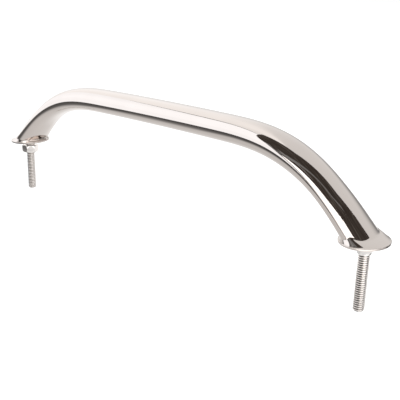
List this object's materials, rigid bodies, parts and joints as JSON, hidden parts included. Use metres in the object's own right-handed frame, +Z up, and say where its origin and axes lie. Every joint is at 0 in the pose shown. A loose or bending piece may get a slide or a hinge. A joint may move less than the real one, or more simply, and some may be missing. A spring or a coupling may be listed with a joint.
{
  "type": "grab rail",
  "caption": "Arched grab rail of polished oval tube for a boat deck, on flanged feet whose threaded studs pass through the deck, with a hex nut.",
  "frame": {"origin": "midway between the two studs' axes, on the deck plane that the undersides of the feet stand on", "axes": "+X along the rail towards the right foot, the one without a nut; +Y across the rail, away from a viewer who has that foot on the right; +Z up from the deck, the studs point along -Z"},
  "size_m": [0.3302, 0.0312, 0.0925],
  "materials": {
    "polished_stainless": "mirror polished",
    "thread_stainless": "bright rolled thread",
    "weld_stainless": "bead, lightly brushed",
    "nut_stainless": "bright machined"
  },
  "bodies": {
    "rail": {"rail_tube": "polished_stainless", "seam_weld_right": "polished_stainless", "seam_weld_left": "polished_stainless", "foot_right": "polished_stainless", "foot_left": "polished_stainless", "stud_right": "thread_stainless", "stud_left": "thread_stainless", "stud_weld_right": "weld_stainless", "stud_weld_left": "weld_stainless"},
    "nut": {"nut_left": "nut_stainless"}
  },
  "joints": [
    {"name": "nut_travel", "type": "slide", "parent": "rail", "child": "nut", "axis": [0, 0, -1], "range_m": [0, 0.0303]}
  ]
}
